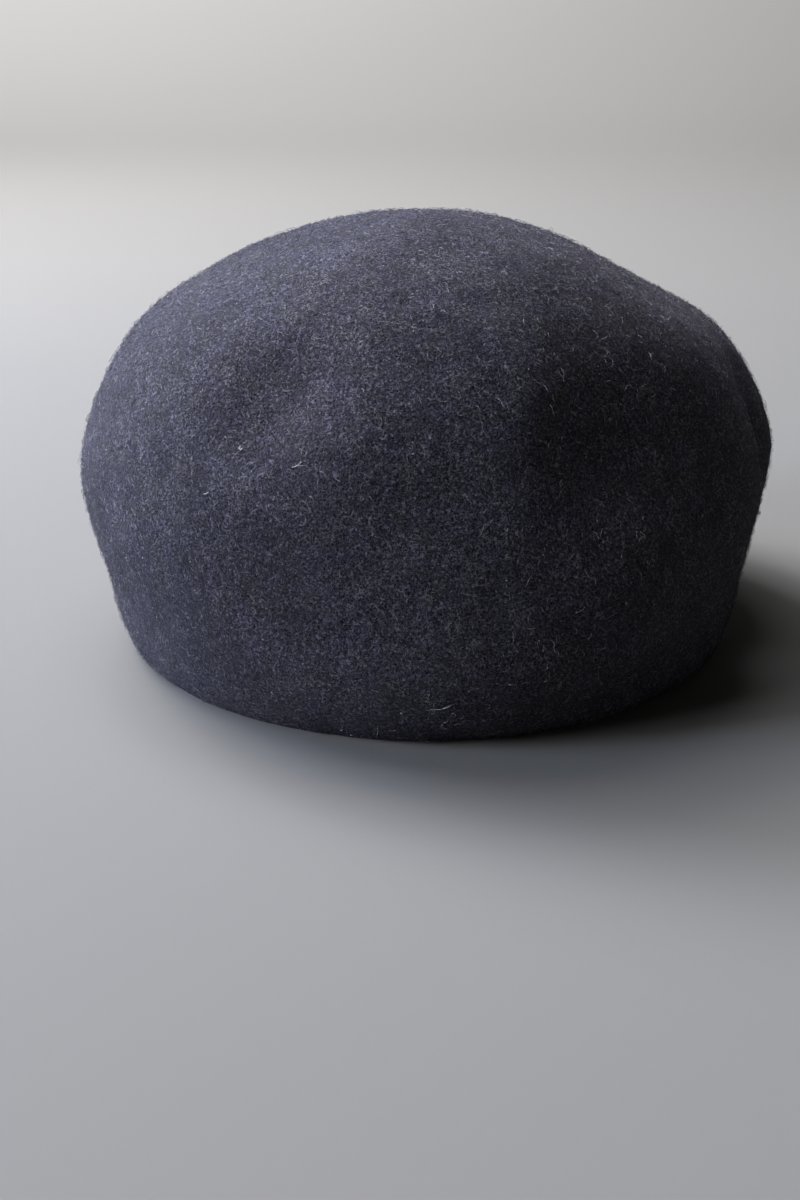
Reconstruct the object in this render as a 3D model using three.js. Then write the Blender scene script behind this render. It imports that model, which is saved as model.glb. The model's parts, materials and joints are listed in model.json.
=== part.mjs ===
// Flat cap of blocked wool felt, at its real size in millimetres.
// Z is up and the peak points to -Y. The cap stands on its rim, whose flat edge lies in the plane z = 0.
// It has two pieces: the crown, one seamless hollow shell of felt, and the peak, a board covered in felt
// under the front of the rim.

import * as THREE from "three";
import { LoftGeometry } from "three/addons/geometries/LoftGeometry.js";

// Driving sizes. The inside of the rim is an oval of about 575 mm round, a 57.5 cm head.
const FELT_WALL = 2.4;
const SEAM_GAP = 0.3;
const APEX = { y: 12, rise: 122 };
const PEAK = { reach: 56, width: 162, thickness: 4, arch: 16, lip: 9, halfAngle: 64, squareness: 2.3 };

// The levels of the crown from the rim up. width is the full width, back and front are where the level
// crosses the middle line (Y), and each rise is the level's height there and at the sides.
const LEVELS = [
  { level: "rim", width: 176, back: 100, front: -100, riseBack: 0, riseSide: 0, riseFront: 0 },
  { level: "roll", width: 184, back: 106.5, front: -114, riseBack: 7, riseSide: 7, riseFront: 22 },
  { level: "low", width: 192, back: 110, front: -124, riseBack: 21, riseSide: 22, riseFront: 28 },
  { level: "bulge", width: 204.5, back: 111, front: -129, riseBack: 42, riseSide: 51, riseFront: 39 },
  { level: "shoulder", width: 189, back: 104, front: -125, riseBack: 68, riseSide: 73, riseFront: 54 },
  { level: "turn", width: 170, back: 93, front: -113, riseBack: 87, riseSide: 88, riseFront: 70 },
  { level: "slope", width: 130, back: 76, front: -90, riseBack: 103, riseSide: 102, riseFront: 89 },
  { level: "top", width: 76, back: 48, front: -50, riseBack: 117, riseSide: 115, riseFront: 108 },
];

// The dents and puffs of the soft felt. around is in degrees from the back towards the wearer's right,
// climb is how far up the felt from the rim, run is the slant of the dent's long way, and depth is negative
// where the felt puffs out.
const DENTS = [
  { dent: "right side crease", around: 74, climb: 56, run: 70, long: 56, wide: 20, depth: 7 },
  { dent: "right side puff", around: 101, climb: 66, run: 90, long: 62, wide: 64, depth: -5 },
  { dent: "right top flat", around: 97, climb: 125, run: 90, long: 68, wide: 84, depth: 3.4 },
  { dent: "right hollow", around: 33, climb: 77, run: -20, long: 60, wide: 50, depth: 6.2 },
  { dent: "right hollow edge", around: 15, climb: 86, run: 75, long: 56, wide: 22, depth: -1.8 },
  { dent: "right bump", around: 28, climb: 46, run: 10, long: 34, wide: 24, depth: -3 },
  { dent: "left dimple", around: -27, climb: 90, run: 43, long: 42, wide: 34, depth: 4.8 },
  { dent: "left ridge", around: -12, climb: 72, run: 50, long: 44, wide: 26, depth: -1.6 },
  { dent: "middle hollow", around: -5, climb: 60, run: 20, long: 64, wide: 44, depth: 2 },
  { dent: "hem ridge", around: 0, climb: 24, run: 0, long: 120, wide: 18, depth: -3 },
];

// How finely the felt is divided
const AROUND = 80;
const STEPS_BETWEEN_LEVELS = 3;
const PEAK_SECTIONS = 44;
const NOSE_POINTS = 6;

const UP = new THREE.Vector3(0, 0, 1);
const radians = THREE.MathUtils.degToRad;

// 0 at the temples, where the peak begins, and 1 at the middle of the forehead. turn runs from the back.
function peakShare(turn) {
  const fromFront = Math.PI - Math.abs(Math.atan2(Math.sin(turn), Math.cos(turn)));
  const halfAngle = radians(PEAK.halfAngle);
  return fromFront < halfAngle ? Math.cos((fromFront / halfAngle) * (Math.PI / 2)) : 0;
}

// The peak thins out towards its tips, so that the rim comes down to the table behind them.
function peakThickness(share) {
  const tipTaper = 0.3;
  return PEAK.thickness * Math.min(1, share / tipTaper);
}

function peakArch(share) {
  return PEAK.arch * share ** 2;
}

// The front of the rim sits on the peak.
function rimLift(turn) {
  const share = peakShare(turn);
  return share > 0 ? peakArch(share) + peakThickness(share) + SEAM_GAP : 0;
}

function levelPoint(level, turn) {
  const middle = (level.back + level.front) / 2;
  const halfLength = (level.back - level.front) / 2;
  const toBack = Math.cos(turn);
  const backShare = Math.max(0, toBack) ** 2;
  const frontShare = Math.max(0, -toBack) ** 2;
  const sideShare = 1 - backShare - frontShare;
  const rise = level.riseBack * backShare + level.riseSide * sideShare + level.riseFront * frontShare;
  return new THREE.Vector3((-level.width / 2) * Math.sin(turn), middle + halfLength * toBack, rise);
}

// One line of the felt from the rim over the apex, which it crosses smoothly to the level on the other side.
function meridian(turn) {
  const points = LEVELS.map((level) => levelPoint(level, turn));
  points[0].z += rimLift(turn);
  points.push(new THREE.Vector3(0, APEX.y, APEX.rise), levelPoint(LEVELS.at(-1), turn + Math.PI));
  return new THREE.CatmullRomCurve3(points, false, "centripetal");
}

const ROWS = LEVELS.length * STEPS_BETWEEN_LEVELS;
const APEX_SHARE = LEVELS.length / (LEVELS.length + 1);

function turnOf(column) {
  return (column / AROUND) * 2 * Math.PI;
}

// The smooth blocked shape, as rows of points from the rim to the apex.
function smoothCrown() {
  const lines = Array.from({ length: AROUND }, (_, column) => meridian(turnOf(column)));
  return Array.from({ length: ROWS + 1 }, (_, row) =>
    lines.map((line) => line.getPoint((row / ROWS) * APEX_SHARE)),
  );
}

function normalAt(rows, row, column) {
  if (row === ROWS) return UP.clone();
  const round = rows[row];
  const along = round[(column + 1) % AROUND].clone().sub(round[(column + AROUND - 1) % AROUND]);
  const up = rows[row + 1][column].clone().sub(rows[Math.max(0, row - 1)][column]);
  return along.cross(up).normalize();
}

// How far in the felt is pushed at a point by all the dents together.
function dentDepth(point) {
  let depth = 0;
  for (const dent of DENTS) {
    const turn = radians(dent.around);
    const line = meridian(turn);
    const place = dent.climb / line.getLength();
    const across = new THREE.Vector3(-Math.cos(turn), -Math.sin(turn), 0);
    const up = line.getTangentAt(place);
    const long = across.clone().multiplyScalar(Math.cos(radians(dent.run)));
    long.addScaledVector(up, Math.sin(radians(dent.run)));
    const wide = up.clone().multiplyScalar(Math.cos(radians(dent.run)));
    wide.addScaledVector(across, -Math.sin(radians(dent.run)));
    const offset = point.clone().sub(line.getPointAt(place));
    const alongLong = offset.dot(long) / (dent.long / 2);
    const alongWide = offset.dot(wide) / (dent.wide / 2);
    const through = offset.dot(long.cross(wide)) / dent.long;
    depth += dent.depth * Math.exp(-(alongLong ** 2) - alongWide ** 2 - through ** 2);
  }
  return depth;
}

function crownOutside() {
  const smooth = smoothCrown();
  return smooth.map((round, row) =>
    round.map((point, column) => {
      const inward = row === 0 ? 0 : -dentDepth(point);
      return point.clone().addScaledVector(normalAt(smooth, row, column), inward);
    }),
  );
}

// The inside is one felt wall in from the outside. At the rim the two are level, which gives the cap its
// flat edge to stand on.
function crownInside(outside) {
  return outside.map((round, row) =>
    round.map((point, column) => {
      const normal = normalAt(outside, row, column);
      if (row === 0) normal.setZ(0).normalize();
      return point.clone().addScaledVector(normal, -FELT_WALL);
    }),
  );
}

function crownGeometry() {
  const outside = crownOutside();
  const inside = crownInside(outside);
  return new LoftGeometry([...inside.reverse(), ...outside]);
}

// One section of the peak, from the inner edge along the top, round the nose and back along the underside.
function peakSection(slot) {
  const swing = slot * radians(90);
  const share = Math.cos(swing);
  const turn = Math.PI + slot * radians(PEAK.halfAngle);
  const rim = LEVELS[0];
  const inner = levelPoint({ ...rim, width: rim.width - 2 * FELT_WALL, front: rim.front + FELT_WALL }, turn);
  const temple = levelPoint(rim, Math.PI - radians(PEAK.halfAngle));
  const power = 2 / PEAK.squareness;
  const outer = new THREE.Vector3(
    (PEAK.width / 2) * Math.sign(swing) * Math.abs(Math.sin(swing)) ** power,
    temple.y - (PEAK.reach - rim.front + temple.y) * share ** power,
    PEAK.lip * share,
  );
  inner.z = peakArch(share);
  const thickness = peakThickness(share);
  const noseRadius = thickness / 2;
  const across = outer.clone().sub(inner);
  const noseShare = 1 - noseRadius / across.length();
  const points = [inner.clone().addScaledVector(UP, thickness)];
  for (let i = 0; i <= NOSE_POINTS; i++) {
    const angle = Math.PI * (0.5 - i / NOSE_POINTS);
    const nose = inner.clone().addScaledVector(across, noseShare);
    nose.addScaledVector(across.clone().normalize(), noseRadius * Math.cos(angle));
    points.push(nose.addScaledVector(UP, noseRadius * (1 + Math.sin(angle))));
  }
  points.push(inner);
  return points;
}

function peakGeometry() {
  const tipSlot = 0.97;
  const sections = Array.from({ length: PEAK_SECTIONS + 1 }, (_, i) =>
    peakSection(tipSlot * ((2 * i) / PEAK_SECTIONS - 1)),
  );
  return new LoftGeometry(sections, { capStart: true, capEnd: true });
}

const felt = new THREE.MeshStandardMaterial({ color: 0x2b2c35, roughness: 0.95, metalness: 0 });

function piece(name, geometry) {
  const mesh = new THREE.Mesh(geometry, felt.clone());
  mesh.name = name;
  return mesh;
}

const cap = new THREE.Group();
cap.add(piece("crown", crownGeometry()));
cap.add(piece("peak", peakGeometry()));

// The origin is on the table, under the middle of the cap.
const box = new THREE.Box3().setFromObject(cap);
const middle = box.getCenter(new THREE.Vector3());
cap.position.set(-middle.x, -middle.y, -box.min.z);

export default cap;
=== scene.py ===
import json
import math

import bpy
import numpy as np
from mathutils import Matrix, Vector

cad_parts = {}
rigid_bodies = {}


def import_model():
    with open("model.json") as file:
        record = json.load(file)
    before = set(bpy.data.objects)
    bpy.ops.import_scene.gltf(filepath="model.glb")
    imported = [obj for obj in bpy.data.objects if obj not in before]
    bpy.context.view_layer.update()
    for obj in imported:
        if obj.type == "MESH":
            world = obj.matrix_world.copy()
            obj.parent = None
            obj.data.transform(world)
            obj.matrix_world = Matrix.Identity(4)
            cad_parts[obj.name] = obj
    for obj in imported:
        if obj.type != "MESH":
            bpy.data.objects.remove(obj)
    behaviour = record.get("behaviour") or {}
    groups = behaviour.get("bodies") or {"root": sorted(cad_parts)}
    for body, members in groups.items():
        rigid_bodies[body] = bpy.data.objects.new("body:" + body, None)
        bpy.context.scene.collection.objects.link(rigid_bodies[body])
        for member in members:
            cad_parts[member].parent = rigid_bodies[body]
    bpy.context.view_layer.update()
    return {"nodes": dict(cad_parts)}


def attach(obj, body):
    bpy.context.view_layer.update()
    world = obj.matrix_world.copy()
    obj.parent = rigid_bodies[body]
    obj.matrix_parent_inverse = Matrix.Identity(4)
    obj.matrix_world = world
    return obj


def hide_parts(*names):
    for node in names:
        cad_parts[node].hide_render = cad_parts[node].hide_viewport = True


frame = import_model()

# CROWN
# The real crown is one piece of wool felt, steamed and pulled over a block, so it has no seams.
# Handling has left soft dents in it. It is 2.4 mm thick, and its rim is a plain cut edge.
felt_thickness = 0.0024
cut_edge_radius = 0.0007
sharp_edge = math.radians(50)
merge_distance = 0.00001
crown_heart = (0.0016, 0.020, 0.050)
rim_edge_facing = -0.93
apex_patch_span = 20
apex_patch_rise = 0.0009
apex_hole_above = 0.09
navy_grey = (0.0508, 0.0492, 0.0600)
lumps = [
    {"name": "broad_lumps", "size": 0.022, "strength": 0.0012},
    {"name": "small_lumps", "size": 0.006, "strength": 0.0004},
]


def bare_copy(name, node):
    """A copy of a solid with its corners merged and its triangles paired, selected and active."""
    bpy.ops.object.select_all(action="DESELECT")
    piece = bpy.data.objects.new(name, frame["nodes"][node].data.copy())
    bpy.context.scene.collection.objects.link(piece)
    bpy.context.view_layer.objects.active = piece
    piece.select_set(True)
    piece.data.materials.clear()
    bpy.ops.object.mode_set(mode="EDIT")
    bpy.ops.mesh.select_mode(type="FACE")
    bpy.ops.mesh.select_all(action="SELECT")
    bpy.ops.mesh.remove_doubles(threshold=merge_distance)
    bpy.ops.mesh.customdata_custom_splitnormals_clear()
    bpy.ops.mesh.tris_convert_to_quads()
    bpy.ops.mesh.select_all(action="DESELECT")
    bpy.ops.object.mode_set(mode="OBJECT")
    return piece


# Only the outer skin is kept, and gets its thickness again when it is finished.
crown = bare_copy("crown_felt", "crown")
for face in crown.data.polygons:
    outward = sum(n * (c - h) for n, c, h in zip(face.normal, face.center, crown_heart))
    face.select = outward < 0 or face.normal.z < rim_edge_facing
bpy.ops.object.mode_set(mode="EDIT")
bpy.ops.mesh.delete(type="FACE")

# The fan of triangles at the apex gives way to a low dome of squares, which shades smoothly.
bpy.ops.mesh.select_mode(type="VERT")
bpy.ops.mesh.select_all(action="DESELECT")
bpy.ops.object.mode_set(mode="OBJECT")
edge_ends = np.array([edge.vertices[:] for edge in crown.data.edges])
apex = int(np.bincount(edge_ends.ravel()).argmax())
apex_place = crown.data.vertices[apex].co.xy
crown.data.vertices[apex].select = True
bpy.ops.object.mode_set(mode="EDIT")
bpy.ops.mesh.delete(type="VERT")
bpy.ops.mesh.select_mode(type="EDGE")
bpy.ops.mesh.select_all(action="DESELECT")
bpy.ops.object.mode_set(mode="OBJECT")
edges_of_faces = [loop.edge_index for loop in crown.data.loops]
faces_on_edge = np.bincount(edges_of_faces, minlength=len(crown.data.edges))
for edge in crown.data.edges:
    high = all(crown.data.vertices[i].co.z > apex_hole_above for i in edge.vertices)
    edge.select = bool(high and faces_on_edge[edge.index] == 1)
hole_corners = [crown.data.vertices[edge.vertices[0]] for edge in crown.data.edges if edge.select]
hole = [corner.co.xy - apex_place for corner in hole_corners]
hole_bearing = [math.atan2(y, x) for x, y in hole]
hole_reach = [math.hypot(x, y) for x, y in hole]
bpy.ops.object.mode_set(mode="EDIT")
bpy.ops.mesh.fill_grid(span=apex_patch_span)
bpy.ops.mesh.select_mode(type="VERT")
bpy.ops.mesh.select_less()
bpy.ops.object.mode_set(mode="OBJECT")
for vertex in crown.data.vertices:
    if vertex.select:
        x, y = vertex.co.xy - apex_place
        reach = np.interp(math.atan2(y, x), hole_bearing, hole_reach, period=2 * math.pi)
        vertex.co.z += apex_patch_rise * (1 - (math.hypot(x, y) / reach) ** 2)
bpy.ops.object.mode_set(mode="EDIT")
bpy.ops.mesh.select_all(action="SELECT")
bpy.ops.mesh.normals_make_consistent(inside=False)
bpy.ops.object.mode_set(mode="OBJECT")


def finish_with(piece, kind, **settings):
    """Adds a modifier to a piece and applies it."""
    modifier = piece.modifiers.new(kind.lower(), kind)
    for name, value in settings.items():
        setattr(modifier, name, value)
    bpy.context.view_layer.objects.active = piece
    bpy.ops.object.modifier_apply(modifier=modifier.name)


# The lumps are the unevenness of pressed wool.
finish_with(crown, "SUBSURF", levels=2, render_levels=2)
for lump in lumps:
    uneven = bpy.data.textures.new(lump["name"], "CLOUDS")
    uneven.noise_scale = lump["size"]
    uneven.noise_depth = 2
    finish_with(crown, "DISPLACE", texture=uneven, texture_coords="LOCAL", strength=lump["strength"])
outer_skin = crown.data.copy()
finish_with(crown, "SOLIDIFY", thickness=felt_thickness, offset=-1, use_even_offset=True)
finish_with(
    crown, "BEVEL", width=cut_edge_radius, segments=2, limit_method="ANGLE", angle_limit=sharp_edge
)

# The felt is flat where it rests on the table.
for vertex in crown.data.vertices:
    vertex.co.z = max(vertex.co.z, 0.0)
bpy.ops.object.shade_smooth()


def wool_felt(name, shade):
    """Dyed wool felt: a mat of curly fibres, the upper ones paler, partly by painted highlight, with
    painted shade in the gaps between them.
    """
    felt = bpy.data.materials.new(name)
    felt.use_nodes = True
    nodes, link = felt.node_tree.nodes, felt.node_tree.links.new
    cloth = nodes["Principled BSDF"]
    place = nodes.new("ShaderNodeTexCoord").outputs["Object"]

    def clouds(size, detail, seed, curl=0.0):
        """Noise with lumps of about the given size."""
        noise = nodes.new("ShaderNodeTexNoise")
        noise.noise_dimensions = "4D"
        noise.inputs["W"].default_value = seed
        noise.inputs["Scale"].default_value = 1 / size
        noise.inputs["Detail"].default_value = detail
        noise.inputs["Distortion"].default_value = curl
        link(place, noise.inputs["Vector"])
        return noise.outputs["Fac"]

    def worked_out(kind, first, second):
        """A value worked out from two others, each a socket or a number."""
        step = nodes.new("ShaderNodeMath")
        step.operation = kind
        for socket, value in zip(step.inputs, (first, second)):
            if isinstance(value, float):
                socket.default_value = value
            else:
                link(value, socket)
        return step.outputs["Value"]

    def spread(value, low, high, to_low=0.0, to_high=1.0):
        """A value between two bounds, spread between two others."""
        scale = nodes.new("ShaderNodeMapRange")
        scale.interpolation_type = "SMOOTHSTEP"
        scale.inputs["From Min"].default_value = low
        scale.inputs["From Max"].default_value = high
        scale.inputs["To Min"].default_value = to_low
        scale.inputs["To Max"].default_value = to_high
        link(value, scale.inputs["Value"])
        return scale.outputs["Result"]

    def mixed(kind, share, under, over):
        """Two colours in one, each a socket or a colour."""
        mix = nodes.new("ShaderNodeMix")
        mix.data_type = "RGBA"
        mix.blend_type = kind
        for socket, value in (("Factor", share), ("A", under), ("B", over)):
            if isinstance(value, (float, tuple)):
                mix.inputs[socket].default_value = value
            else:
                link(value, mix.inputs[socket])
        return mix.outputs["Result"]

    def dyed(tone):
        """The felt's own shade, made darker or paler."""
        return (*(part * tone for part in shade), 1)

    def curly_fibres(size, line, seed):
        """Thin lines that wander like crimped wool, and fade in and out along their way."""
        wander = worked_out("SUBTRACT", clouds(size, detail=1.0, seed=seed, curl=0.8), 0.5)
        off_line = worked_out("ABSOLUTE", wander, 0.0)
        thread = spread(off_line, low=0.0, high=line, to_low=1.0, to_high=0.0)
        shown = spread(clouds(size * 0.9, detail=0.0, seed=seed + 0.5), low=0.48, high=0.60)
        return worked_out("MULTIPLY", thread, shown)

    # The gaps between the fibres are painted nearly black: painted shade where light does not reach into
    # the felt.
    gap_shade_tone, mat_tone, mat_rise = 0.04, 0.95, 0.5
    # Each layer is paler than the one under it: partly paler wool, and partly painted highlight on the
    # fibres raised into the light.
    layers = [
        {"size": 0.00046, "line": 0.085, "seed": 3.0, "tone": 2.3, "rise": 0.7},
        {"size": 0.00060, "line": 0.075, "seed": 7.0, "tone": 4.0, "rise": 1.0},
        {"size": 0.00085, "line": 0.055, "seed": 11.0, "tone": 7.0, "rise": 1.3},
    ]
    mat = spread(clouds(0.00034, detail=1.0, seed=0.0), low=0.42, high=0.60)
    wool = mixed("MIX", mat, dyed(gap_shade_tone), dyed(mat_tone))
    height = worked_out("MULTIPLY", mat, mat_rise)
    for layer in layers:
        fibres = curly_fibres(layer["size"], layer["line"], layer["seed"])
        wool = mixed("MIX", fibres, wool, dyed(layer["tone"]))
        height = worked_out("MAXIMUM", height, worked_out("MULTIPLY", fibres, layer["rise"]))

    warm_dye, cool_dye = (1.03, 1.01, 0.92, 1), (0.975, 0.965, 1.07, 1)
    mottle = spread(clouds(0.009, detail=3.0, seed=31.0), low=0.3, high=0.7, to_low=0.80, to_high=1.20)
    wear = spread(clouds(0.045, detail=2.0, seed=37.0), low=0.3, high=0.7, to_low=0.86, to_high=1.14)
    tone = mixed("MULTIPLY", 1.0, wool, worked_out("MULTIPLY", mottle, wear))
    dye_patches = spread(clouds(0.006, detail=3.0, seed=41.0), low=0.3, high=0.7)
    dye = mixed("MIX", dye_patches, warm_dye, cool_dye)
    link(mixed("MULTIPLY", 1.0, tone, dye), cloth.inputs["Base Color"])

    relief = nodes.new("ShaderNodeBump")
    relief.inputs["Strength"].default_value = 1.0
    relief.inputs["Distance"].default_value = 0.00060
    link(height, relief.inputs["Height"])
    link(relief.outputs["Normal"], cloth.inputs["Normal"])

    link(spread(mat, low=0.0, high=1.0, to_low=1.0, to_high=0.88), cloth.inputs["Roughness"])
    cloth.inputs["Specular IOR Level"].default_value = 0.15
    cloth.inputs["Sheen Weight"].default_value = 0.18
    cloth.inputs["Sheen Roughness"].default_value = 0.35
    cloth.inputs["Sheen Tint"].default_value = (0.56, 0.56, 0.74, 1)
    return felt


crown.data.materials.append(wool_felt("crown_felt", navy_grey))
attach(crown, "root")
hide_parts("crown")

# PEAK
# The real peak is a stiff board cut to a crescent and covered in the same felt, drawn tight over its
# edge. It is sewn under the front of the rim, and its inner edge follows the forehead.
tip_front = -0.0302
tip_inner, tip_outer = 0.0765, 0.0810
tip_draw = 0.0088
tip_thinning = 0.5

peak = bare_copy("peak_felt", "peak")
bpy.ops.object.mode_set(mode="EDIT")
bpy.ops.mesh.select_mode(type="EDGE")
bpy.ops.mesh.edges_select_sharp(sharpness=sharp_edge)
bpy.ops.transform.edge_crease(value=1)
bpy.ops.object.mode_set(mode="OBJECT")

# Each end of the board is drawn out to a thin tip that runs in under the rim.
for vertex in peak.data.vertices:
    if vertex.co.y > tip_front and abs(vertex.co.x) > tip_inner:
        vertex.co.z *= tip_thinning
        if abs(vertex.co.x) > tip_outer:
            vertex.co.y += tip_draw
finish_with(peak, "SUBSURF", levels=2, render_levels=2)
bpy.ops.object.shade_smooth()
peak.data.materials.append(wool_felt("peak_felt", navy_grey))
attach(peak, "root")
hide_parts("peak")

# NAP
# Brushing has raised a short nap on the felt: curly ends of wool that lie over each other, the lower
# ones dark like the felt and the upper ones paler. A thin fuzz stands up between them, and longer
# pale hairs lie loose on top. Each is a thin closed thread.
lowest_fibre = 0.0002
fibre_crimp = math.radians(40)
fibre_sway = (-0.4, 0.6)


def spin_fibres(
    name, root, normal, heading, length, thickness, bends, curl, crimp, lift, settle, random
):
    """One piece of fibres, each from its root along a heading, which curl and crimp at each bend."""
    count = len(root)
    sides = 3
    side_angle = 2 * math.pi / sides
    way = heading - normal * (heading * normal).sum(1, keepdims=True)
    way /= np.linalg.norm(way, axis=1, keepdims=True)
    stride = length[:, None] / (bends + 1)
    point = root - normal * thickness / 2
    rings = [point[:, None]]
    for bend in range(bends + 1):
        turn = curl[:, None] + random.uniform(-crimp, crimp, (count, 1))
        way = np.cos(turn) * way + np.sin(turn) * np.cross(normal, way)
        stand = 1 - settle * bend / bends + random.uniform(*fibre_sway, (count, 1)) * min(bend, 1)
        rise = lift[:, None] * stand
        point = point + stride * (np.cos(rise) * way + np.sin(rise) * normal)
        across = np.cross(way, normal)
        ring = []
        for i in range(sides):
            out = math.cos(side_angle * i) * across - math.sin(side_angle * i) * normal
            ring.append(point + thickness / 2 * out)
        rings.append(np.stack(ring, axis=1) if bend < bends else point[:, None])
    points = np.concatenate(rings, axis=1).reshape(-1, 3)
    points[:, 2] = np.maximum(points[:, 2], lowest_fibre)

    tip = sides * bends + 1
    thread = []
    for i in range(sides):
        after = (i + 1) % sides
        thread.append((0, 1 + after, 1 + i))
        for low in range(1, tip - sides, sides):
            high = low + sides
            thread.append((low + i, low + after, high + after))
            thread.append((low + i, high + after, high + i))
        thread.append((tip, tip - sides + i, tip - sides + after))
    faces = (np.arange(count)[:, None, None] * (tip + 1) + np.array(thread)).reshape(-1, 3)
    mesh = bpy.data.meshes.new(name)
    mesh.from_pydata(points.tolist(), [], faces.tolist())
    mesh.polygons.foreach_set("use_smooth", np.ones(len(faces), dtype=bool))

    # Each fibre has its own small square of the map that the colours are baked to.
    margin = 0.1
    squares = math.ceil(math.sqrt(count))
    square = np.stack([np.arange(count) % squares, np.arange(count) // squares], axis=1)[:, None, :]
    shares = [bend / (bends + 1) for bend in range(1, bends + 1)]
    rows = [(share, margin + (0.5 - margin) * i) for share in shares for i in range(sides)]
    flat = np.array([(0, 0.5), *rows, (1, 0.5)]) * (1 - 2 * margin, 1) + (margin, 0)
    spots = ((square + flat) / squares).reshape(-1, 2)
    mesh.uv_layers.new(name="OFBake").data.foreach_set("uv", spots[faces.ravel()].ravel())
    piece = bpy.data.objects.new(name, mesh)
    bpy.context.scene.collection.objects.link(piece)
    return piece


def scatter(skin, count, random):
    """Points spread evenly over a skin, with the way that it faces there."""
    skin.calc_loop_triangles()
    corner = np.empty(len(skin.loop_triangles) * 3, dtype=np.int32)
    skin.loop_triangles.foreach_get("vertices", corner)
    places = np.empty(len(skin.vertices) * 3)
    skin.vertices.foreach_get("co", places)
    facing = np.empty(len(skin.vertices) * 3)
    skin.vertices.foreach_get("normal", facing)
    corner = corner.reshape(-1, 3)
    places = places.reshape(-1, 3)[corner]
    facing = facing.reshape(-1, 3)[corner]
    area = np.linalg.norm(np.cross(places[:, 1] - places[:, 0], places[:, 2] - places[:, 0]), axis=1)
    chosen = random.choice(len(area), count, p=area / area.sum())
    share = random.dirichlet((1, 1, 1), count)[:, :, None]
    normal = (facing[chosen] * share).sum(1)
    return (places[chosen] * share).sum(1), normal / np.linalg.norm(normal, axis=1, keepdims=True)


def dyed_wool(name, dark, light):
    """Loose wool fibres, whose dye varies a little from one to the next."""
    wool = bpy.data.materials.new(name)
    wool.use_nodes = True
    nodes, link = wool.node_tree.nodes, wool.node_tree.links.new
    fibre = nodes["Principled BSDF"]
    uneven_dye = nodes.new("ShaderNodeTexNoise")
    uneven_dye.inputs["Scale"].default_value = 900
    uneven_dye.inputs["Detail"].default_value = 2
    link(nodes.new("ShaderNodeTexCoord").outputs["Object"], uneven_dye.inputs["Vector"])
    dye = nodes.new("ShaderNodeValToRGB")
    dye.color_ramp.elements[0].position = 0.40
    dye.color_ramp.elements[0].color = (*dark, 1)
    dye.color_ramp.elements[1].position = 0.64
    dye.color_ramp.elements[1].color = (*light, 1)
    link(uneven_dye.outputs["Fac"], dye.inputs["Fac"])
    link(dye.outputs["Color"], fibre.inputs["Base Color"])
    fibre.inputs["Roughness"].default_value = 0.8
    fibre.inputs["Specular IOR Level"].default_value = 0.2
    fibre.inputs["Sheen Weight"].default_value = 0.1
    fibre.inputs["Sheen Roughness"].default_value = 0.3
    fibre.inputs["Sheen Tint"].default_value = (0.56, 0.56, 0.63, 1)
    return wool


slate_wool = dyed_wool("slate_wool", (0.018, 0.0175, 0.021), (0.046, 0.0445, 0.054))
grey_wool = dyed_wool("grey_wool", (0.032, 0.031, 0.036), (0.155, 0.151, 0.175))
violet_wool = dyed_wool("violet_wool", (0.046, 0.044, 0.058), (0.175, 0.168, 0.222))
pale_wool = dyed_wool("pale_wool", (0.095, 0.093, 0.104), (0.470, 0.465, 0.490))

# A fibre lifts off the skin at its root and settles back along its length. curl and lift are in degrees.
naps = [
    {"name": "crown_nap_under", "skin": outer_skin, "count": 12000, "wool": slate_wool, "thick": 0.00016,
     "long": (0.0008, 0.0022), "bends": 1, "curl": 30, "above": 0.0, "lift": (2, 14), "settle": 1.4},
    {"name": "crown_nap_middle", "skin": outer_skin, "count": 32000, "wool": grey_wool, "thick": 0.00012,
     "long": (0.0007, 0.0020), "bends": 1, "curl": 30, "above": 0.0, "lift": (6, 36), "settle": 1.2},
    {"name": "crown_nap_over", "skin": outer_skin, "count": 5200, "wool": pale_wool, "thick": 0.00012,
     "long": (0.0016, 0.0044), "bends": 6, "curl": 36, "above": 0.0003, "lift": (6, 26), "settle": 1.3},
    {"name": "crown_fuzz", "skin": outer_skin, "count": 32000, "wool": violet_wool, "thick": 0.00009,
     "long": (0.0006, 0.0015), "bends": 1, "curl": 30, "above": 0.0, "lift": (30, 80), "settle": 0.6},
    {"name": "peak_nap", "skin": peak.data, "count": 12000, "wool": grey_wool, "thick": 0.00012,
     "long": (0.0007, 0.0018), "bends": 1, "curl": 30, "above": 0.0, "lift": (6, 36), "settle": 1.2},
    {"name": "peak_hairs", "skin": peak.data, "count": 1100, "wool": pale_wool, "thick": 0.00012,
     "long": (0.0018, 0.0042), "bends": 6, "curl": 36, "above": 0.0003, "lift": (6, 26), "settle": 1.3},
]
for seed, nap in enumerate(naps):
    random = np.random.default_rng(seed)
    root, facing = scatter(nap["skin"], nap["count"], random)
    heading = random.normal(size=root.shape)
    long = random.uniform(*nap["long"], nap["count"])
    lift = np.radians(random.uniform(*nap["lift"], nap["count"]))
    curl = np.radians(random.uniform(-nap["curl"], nap["curl"], nap["count"]))
    root += facing * nap["above"]
    piece = spin_fibres(
        nap["name"], root, facing, heading, long, nap["thick"], nap["bends"], curl, fibre_crimp, lift,
        nap["settle"], random
    )
    piece.data.materials.append(nap["wool"])
    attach(piece, "root")

# LINT
# A little white lint has settled on the felt: specks all over, and on the back a fleck, a few bent
# hairs and two dusty patches. It lies on the nap, each hair with one end caught in it.
lint_height = 0.00035
lint_bends = 6
lint_crimp = math.radians(6)
lint_lift = (3, 12)
lint_settle = 1.4
strand_fan = 40
speck_count = 150
speck_long = (0.0003, 0.0008)
speck_thick = (0.00012, 0.00022)
speck_curl = 20
behind_cap = 0.3

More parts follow.
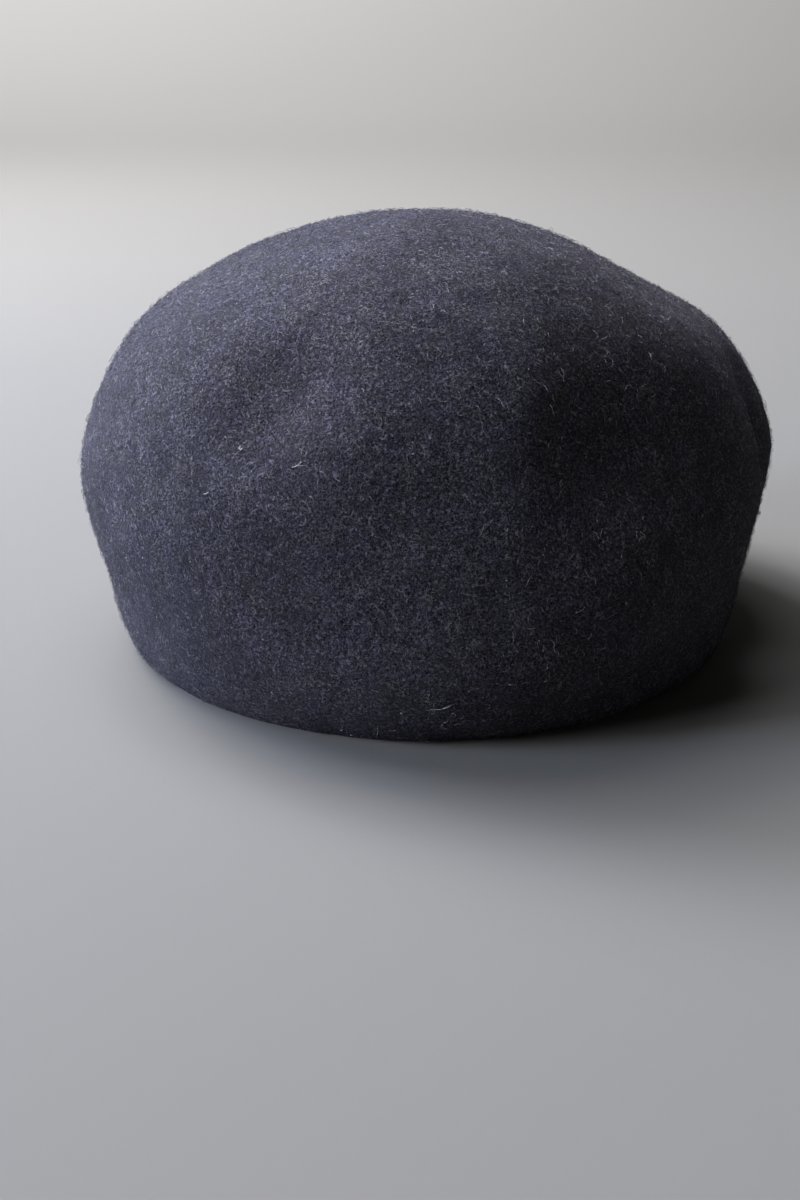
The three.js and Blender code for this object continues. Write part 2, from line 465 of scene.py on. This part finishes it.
# x and z place a tuft on the back of the crown. way is where its first strand points, in degrees up
# from the right as seen from behind, and the other strands fan out from it.
lint = [
    {"x": 0.0489, "z": 0.0711, "count": 2, "spread": 0.0001,
     "long": 0.0009, "thick": 0.00043, "way": 35, "curl": 8},
    {"x": 0.0352, "z": 0.0694, "count": 1, "spread": 0.0,
     "long": 0.0034, "thick": 0.00016, "way": 0, "curl": 6},
    {"x": 0.0580, "z": 0.0602, "count": 1, "spread": 0.0,
     "long": 0.0022, "thick": 0.00018, "way": 340, "curl": 7},
    {"x": 0.0022, "z": 0.0132, "count": 1, "spread": 0.0,
     "long": 0.0066, "thick": 0.00014, "way": 345, "curl": 8},
    {"x": -0.0008, "z": 0.0080, "count": 3, "spread": 0.0006,
     "long": 0.0030, "thick": 0.00011, "way": 250, "curl": 24},
    {"x": -0.0050, "z": 0.0085, "count": 3, "spread": 0.0010,
     "long": 0.0028, "thick": 0.00011, "way": 5, "curl": 26},
    {"x": 0.0183, "z": 0.0417, "count": 24, "spread": 0.0013,
     "long": 0.0010, "thick": 0.00006, "way": 0, "curl": 20},
    {"x": 0.0033, "z": 0.0410, "count": 20, "spread": 0.0013,
     "long": 0.0010, "thick": 0.00005, "way": 0, "curl": 20},
]
random = np.random.default_rng(len(naps))
bpy.context.view_layer.update()
hairs = []
for tuft in lint:
    for strand in range(tuft["count"]):
        x, z = random.normal((tuft["x"], tuft["z"]), tuft["spread"])
        root, facing = crown.ray_cast((x, behind_cap, z), (0, -1, 0))[1:3]
        way = math.radians(tuft["way"] + strand_fan * strand * (-1) ** strand)
        heading = (-math.cos(way), 0, math.sin(way))
        hairs.append((root, facing, heading, tuft["long"], tuft["thick"], tuft["curl"]))
for root, facing in zip(*scatter(outer_skin, speck_count, random)):
    long, thick = random.uniform(*zip(speck_long, speck_thick))
    hairs.append((root, facing, random.normal(size=3), long, thick, speck_curl))
root, facing, heading, long, thick, curl = (np.array(column, dtype=float) for column in zip(*hairs))
root += facing * lint_height
lift = np.radians(random.uniform(*lint_lift, len(hairs)))
piece = spin_fibres(
    "crown_lint", root, facing, heading, long, thick[:, None], lint_bends, np.radians(curl), lint_crimp,
    lift, lint_settle, random
)
piece.data.materials.append(dyed_wool("white_lint", (0.50, 0.50, 0.50), (0.88, 0.88, 0.87)))
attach(piece, "root")

# FLOOR
# A plain pale sheet of paper. It lies flat under the cap, and far away it curves up all round,
# so that it is the backdrop too.
sheet_size, flat_radius, cove_curve = 12.0, 2.6, 2.2
sheet_squares = 90
pale_grey = (0.200, 0.196, 0.178, 1)
bpy.ops.object.select_all(action="DESELECT")
bpy.ops.mesh.primitive_grid_add(
    x_subdivisions=sheet_squares, y_subdivisions=sheet_squares, size=sheet_size, location=(0, 0, 0)
)
floor = bpy.context.active_object
floor.name = "floor"
for vertex in floor.data.vertices:
    beyond = max(0.0, vertex.co.xy.length - flat_radius)
    vertex.co.z = beyond**2 / (2 * cove_curve)
bpy.ops.object.shade_smooth()
paper = bpy.data.materials.new("pale_paper")
paper.use_nodes = True
paper.node_tree.nodes["Principled BSDF"].inputs["Base Color"].default_value = pale_grey
paper.node_tree.nodes["Principled BSDF"].inputs["Roughness"].default_value = 0.9
floor.data.materials.append(paper)

# LIGHT
# Soft daylight from the left and from beyond the cap, as the camera sees it, which leaves the right
# side in shade. Two wide panes light the sheet where it curves up, far away.
cap_middle = Vector((0, 0, 0.06))
pane_distance = 1.9
pane_size, sheet_pane_size = 0.7, 2.0
wide_beam, narrow_beam = 180, 64
clear_sky, cloudy_sky = (0.82, 0.94, 1.30), (0.97, 0.97, 1.05)
room_grey = (0.75, 0.77, 0.82, 1)


def soft_light(name, place, target, size, watts, beam, sky):
    """A square of soft light at a place, turned to face a target."""
    bpy.ops.object.light_add(type="AREA", location=place)
    pane = bpy.context.active_object
    pane.name = name
    pane.data.size = size
    pane.data.energy = watts
    pane.data.spread = math.radians(beam)
    pane.data.color = sky
    pane.rotation_euler = (Vector(target) - Vector(place)).to_track_quat("-Z", "Y").to_euler()
    pane.visible_camera = False


# bearing runs from +X towards +Y and height is the angle above the floor, both in degrees.
panes = [
    {"name": "back_pane", "bearing": 300, "height": 48, "watts": 28, "beam": wide_beam, "sky": cloudy_sky},
    {"name": "back_left_pane", "bearing": 315, "height": 38, "watts": 29,
     "beam": wide_beam, "sky": cloudy_sky},
    {"name": "top_pane", "bearing": 270, "height": 65, "watts": 7, "beam": wide_beam, "sky": cloudy_sky},
    {"name": "high_pane", "bearing": 330, "height": 55, "watts": 14, "beam": wide_beam, "sky": cloudy_sky},
    {"name": "low_pane", "bearing": 330, "height": 13, "watts": 4.4, "beam": narrow_beam, "sky": clear_sky},
    {"name": "left_pane", "bearing": 15, "height": 24, "watts": 2.6, "beam": narrow_beam, "sky": clear_sky},
    {"name": "front_left_pane", "bearing": 30, "height": 25, "watts": 10,
     "beam": wide_beam, "sky": cloudy_sky},
]
for pane in panes:
    bearing, height = math.radians(pane["bearing"]), math.radians(pane["height"])
    level = math.cos(height)
    away = Vector((level * math.cos(bearing), level * math.sin(bearing), math.sin(height)))
    place = cap_middle + pane_distance * away
    soft_light(pane["name"], place, cap_middle, pane_size, pane["watts"], pane["beam"], pane["sky"])
sheet_panes = [
    {"name": "back_sheet_pane", "place": (1.2, -2.4, 3.2), "target": (0.8, -6.0, 1.0), "watts": 430},
    {"name": "front_sheet_pane", "place": (0.6, 2.6, 3.2), "target": (0.4, 6.0, 1.0), "watts": 55},
]
for pane in sheet_panes:
    soft_light(
        pane["name"], pane["place"], pane["target"], sheet_pane_size, pane["watts"], wide_beam, cloudy_sky
    )
world = bpy.data.worlds.new("studio")
bpy.context.scene.world = world
world.use_nodes = True
world.node_tree.nodes["Background"].inputs["Color"].default_value = room_grey
world.node_tree.nodes["Background"].inputs["Strength"].default_value = 0.005

# CAMERA
# It looks from behind the cap and a little above, as in the photograph.
# It is turned half round, so that it looks along -Y with +X on its left.
camera_place = (0.0092, 0.5061, 0.170)
looks_down = 19
camera_turn = (math.radians(90 - looks_down), 0, math.radians(180))
bpy.ops.object.camera_add(location=camera_place, rotation=camera_turn)
camera = bpy.context.active_object
camera.data.lens = 50
camera.data.sensor_width = 36
camera.data.clip_start = 0.01
bpy.context.scene.camera = camera
bpy.context.scene.view_settings.view_transform = "Standard"
